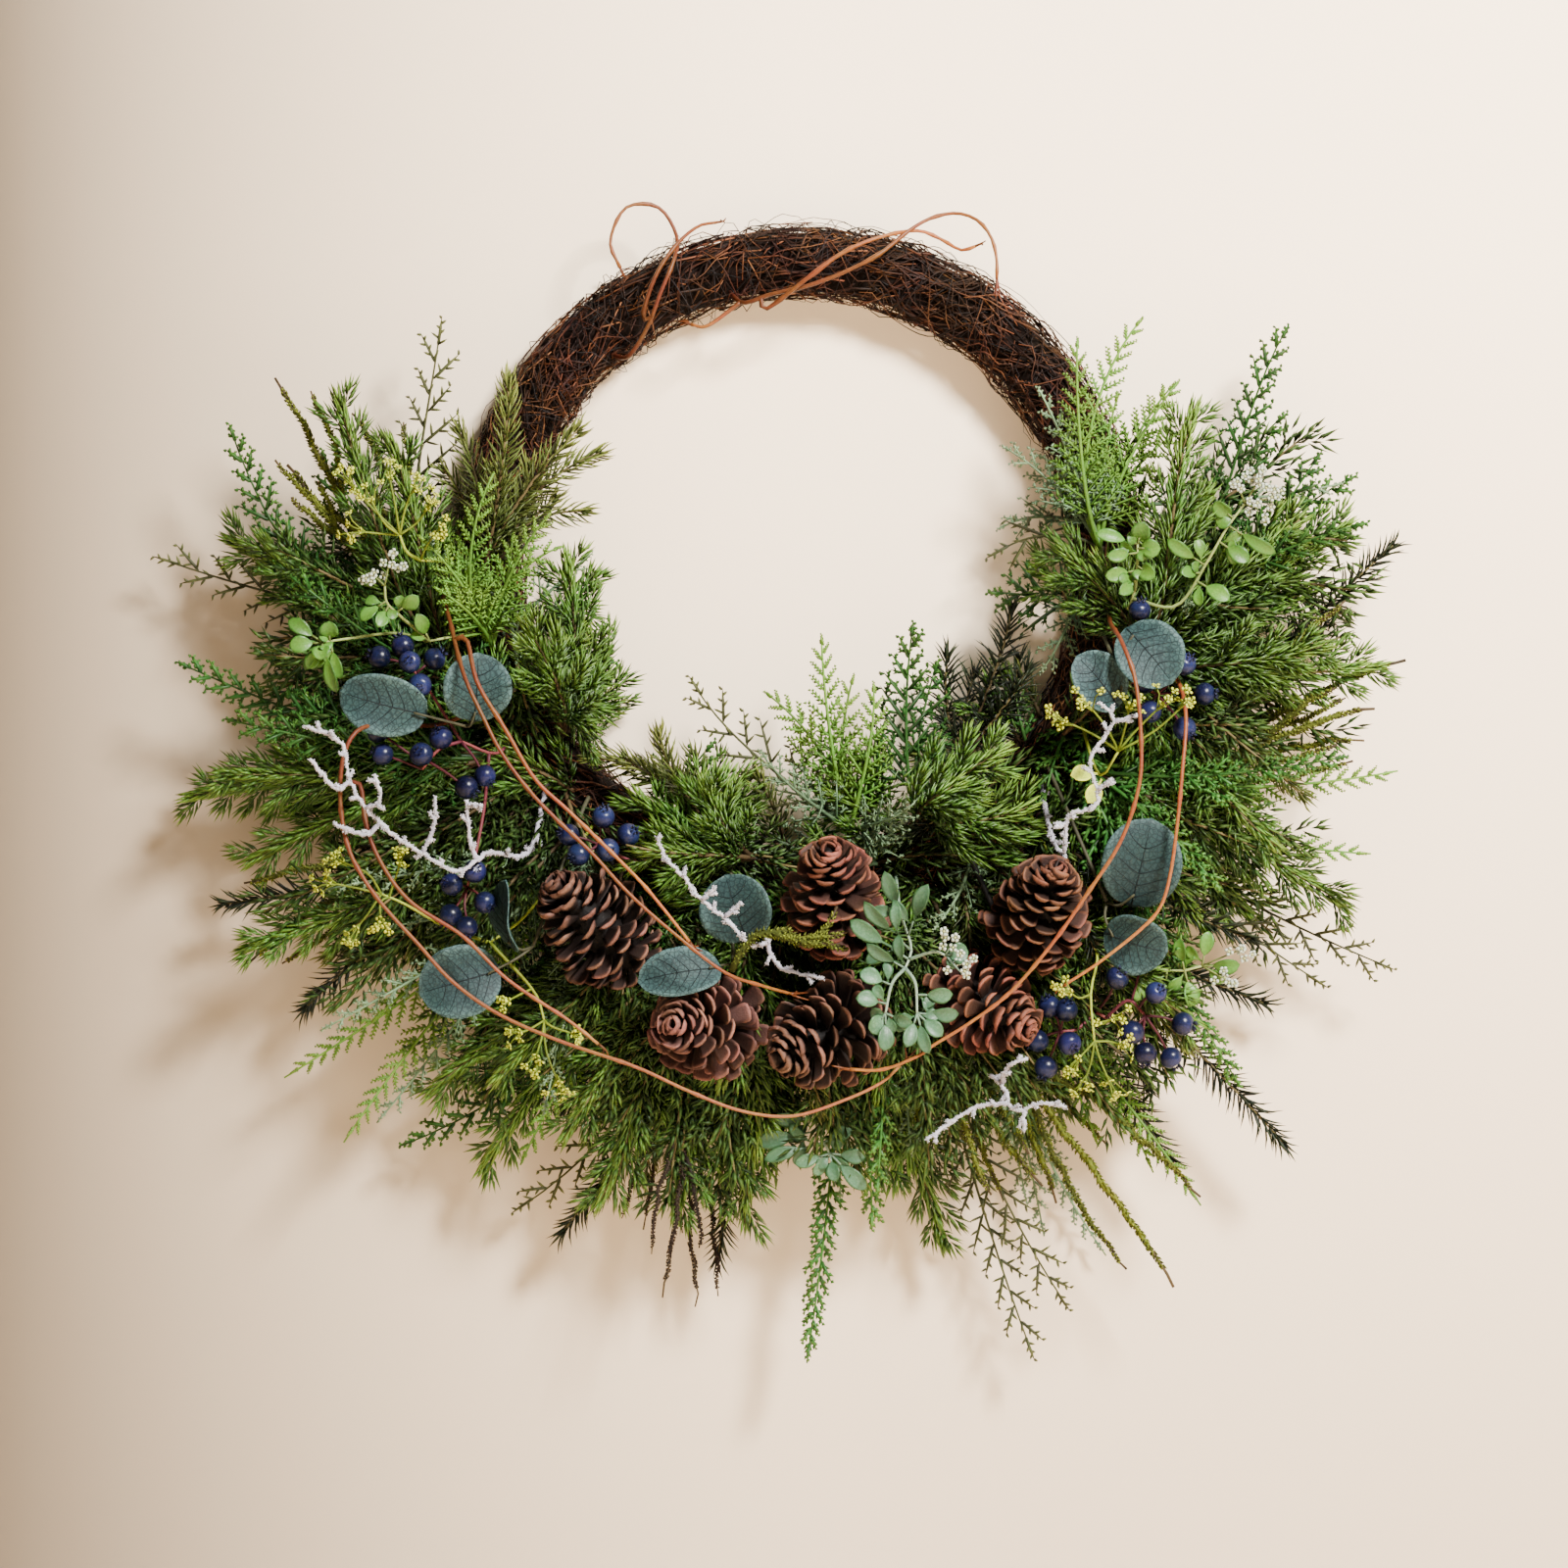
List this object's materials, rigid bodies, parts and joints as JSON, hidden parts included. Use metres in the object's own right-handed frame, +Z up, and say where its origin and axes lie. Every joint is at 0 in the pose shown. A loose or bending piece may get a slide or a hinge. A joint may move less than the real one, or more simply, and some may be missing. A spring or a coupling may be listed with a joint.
{
  "type": "evergreen wreath",
  "caption": "Wall-hung round wreath of bound twigs, bare at the top, with mixed evergreen sprigs, pinecones, berries, round leaves and trailing vines round its lower part.",
  "frame": {"origin": "point at twelve o'clock on the flat back of the twig ring, where the wreath hangs on its nail, on the wall's face", "axes": "+Z up the wall, -Y out of the wall to the viewer, +X to the viewer's right"},
  "size_m": [0.761, 0.148, 0.7152],
  "materials": {
    "twigs": "thin dark bark, dull",
    "pinecone_scales": "dry woody scales with paler edges",
    "round_leaves": "waxy blue-grey leaf with paler veins",
    "berries": "glossy dark blue with a pale bloom",
    "flocked_twigs": "fuzzy pale flocking",
    "vines": "smooth tan bark with small knots",
    "sage_leaves": "dull pale green leaf",
    "umbels": "dull yellow-green florets",
    "olive_needles": "dull olive needles with yellow-green tips",
    "dark_needles": "dull near-black green needles",
    "green_needles": "soft mid-green needles",
    "cedar_sprigs": "deep green scale leaf",
    "frosted_sprigs": "light yellow-green leaf with pale edges",
    "glaucous_sprigs": "grey-green leaf",
    "fern_fronds": "bright green leaf",
    "mossy_twigs": "fuzzy moss on bare twigs"
  },
  "bodies": {
    "root": {"berries_centre_left": "berries", "berries_left": "berries", "berries_right_low": "berries", "berries_right_top": "berries", "cedar_right_top": "cedar_sprigs", "eucalyptus_centre": "round_leaves", "eucalyptus_left_low": "round_leaves", "eucalyptus_left_top": "round_leaves", "eucalyptus_right_low": "round_leaves", "eucalyptus_right_top": "round_leaves", "fern_bottom": "fern_fronds", "fern_right": "fern_fronds", "fir_dark_bottom": "dark_needles", "fir_dark_centre": "dark_needles", "fir_dark_left": "dark_needles", "fir_dark_right_low": "dark_needles", "fir_dark_right_top": "dark_needles", "fir_olive_centre": "olive_needles", "fir_olive_top_left": "olive_needles", "flocked_centre": "flocked_twigs", "flocked_left": "flocked_twigs", "flocked_low": "flocked_twigs", "flocked_right": "flocked_twigs", "frosted_centre": "frosted_sprigs", "frosted_left_low": "frosted_sprigs", "frosted_right_top": "frosted_sprigs", "frosted_top_left": "frosted_sprigs", "glaucous_bottom_right": "glaucous_sprigs", "green_left_mid": "green_needles", "green_left_top": "green_needles", "leaf_spray_bottom": "sage_leaves", "leaf_spray_centre": "sage_leaves", "leaf_spray_right_low": "sage_leaves", "leaf_spray_top_left": "sage_leaves", "leaf_spray_top_right": "sage_leaves", "pine_bottom_left": "green_needles", "pine_centre": "green_needles", "pine_centre_left": "green_needles", "pine_left_inner": "green_needles", "pine_right_top": "green_needles", "pinecone_centre": "pinecone_scales", "pinecone_left": "pinecone_scales", "pinecone_low_centre": "pinecone_scales", "pinecone_low_left": "pinecone_scales", "pinecone_right_low": "pinecone_scales", "pinecone_right_top": "pinecone_scales", "twig_ring": "twigs", "twigs_bottom_left": "mossy_twigs", "twigs_bottom_right": "mossy_twigs", "twigs_left_top": "mossy_twigs", "twigs_right": "mossy_twigs", "umbel_right_low": "umbels", "umbel_right_top": "umbels", "umbels_left_low": "umbels", "umbels_top_left": "umbels", "vine_left": "vines", "vine_low": "vines", "vine_right": "vines", "vine_top_left": "vines", "vine_top_right": "vines"}
  },
  "joints": []
}
